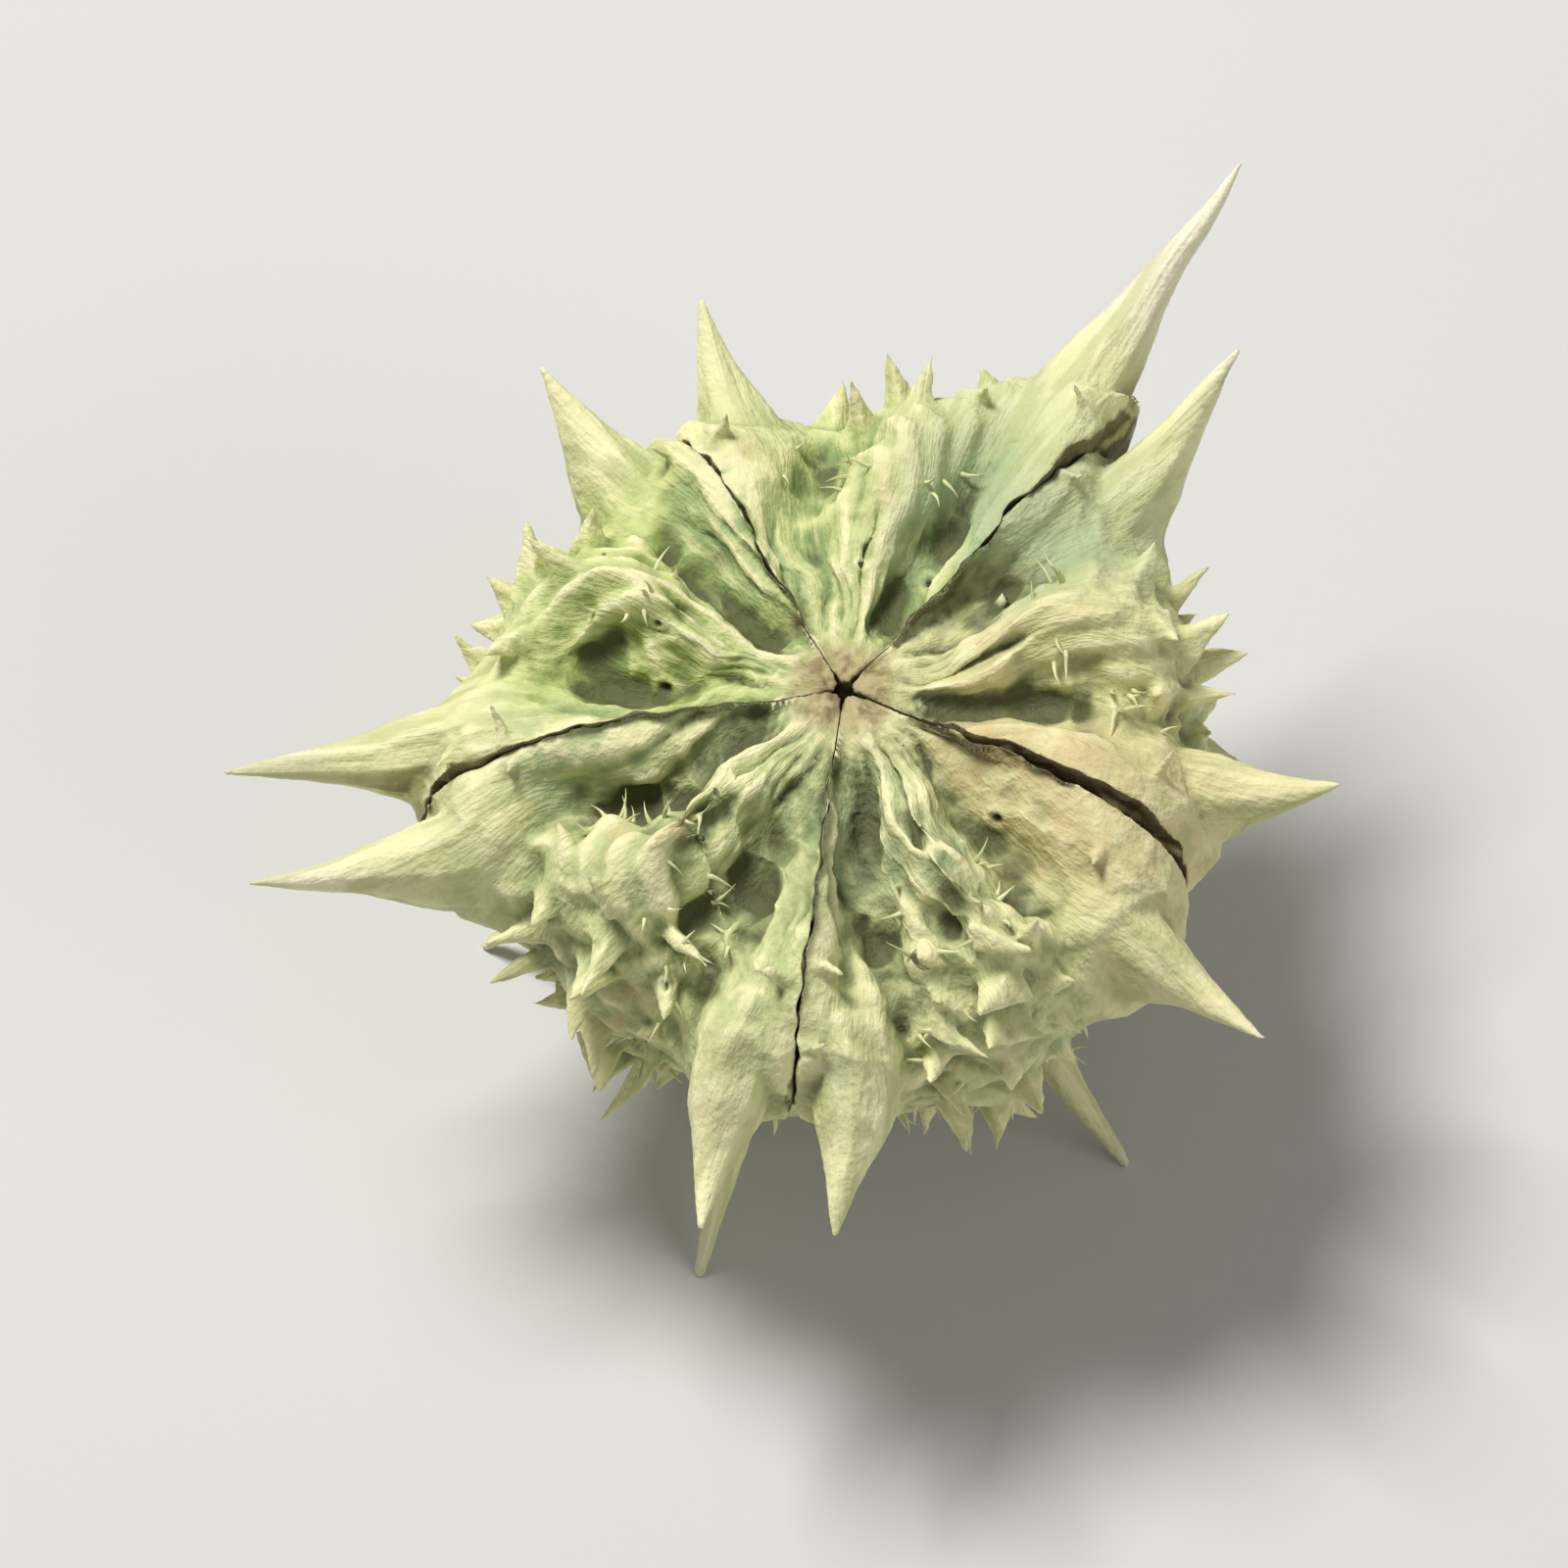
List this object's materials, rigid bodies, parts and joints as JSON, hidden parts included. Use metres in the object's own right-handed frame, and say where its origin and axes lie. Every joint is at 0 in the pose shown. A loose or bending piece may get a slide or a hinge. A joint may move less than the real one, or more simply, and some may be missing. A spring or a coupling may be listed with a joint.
{
  "type": "puncture vine burr",
  "caption": "Dried spiny fruit of puncture vine: woody wedge-shaped nutlets with crested backs stand round one axis and carry long paired horns and small prickles",
  "frame": {"origin": "the middle of the underside of the bounding box, on the surface the burr stands on", "axes": "+Z is the fruit's axis, from the stalk end up to the style end; +X and +Y are level"},
  "size_m": [0.0144, 0.014, 0.0086],
  "materials": {
    "nutlet_1_wood": "matt dry husk, pale yellow-green with cream ridges",
    "nutlet_2_wood": "matt dry husk, sage green with cream ridges",
    "nutlet_3_wood": "matt dry husk, pale yellow-green with cream ridges",
    "nutlet_4_wood": "matt dry husk, sage green with cream ridges",
    "nutlet_5_wood": "matt dry husk, tan and yellow-green with cream ridges"
  },
  "bodies": {
    "root": {"nutlet_1": "nutlet_1_wood", "nutlet_2": "nutlet_2_wood", "nutlet_3": "nutlet_3_wood", "nutlet_4": "nutlet_4_wood", "nutlet_5": "nutlet_5_wood"}
  },
  "joints": []
}
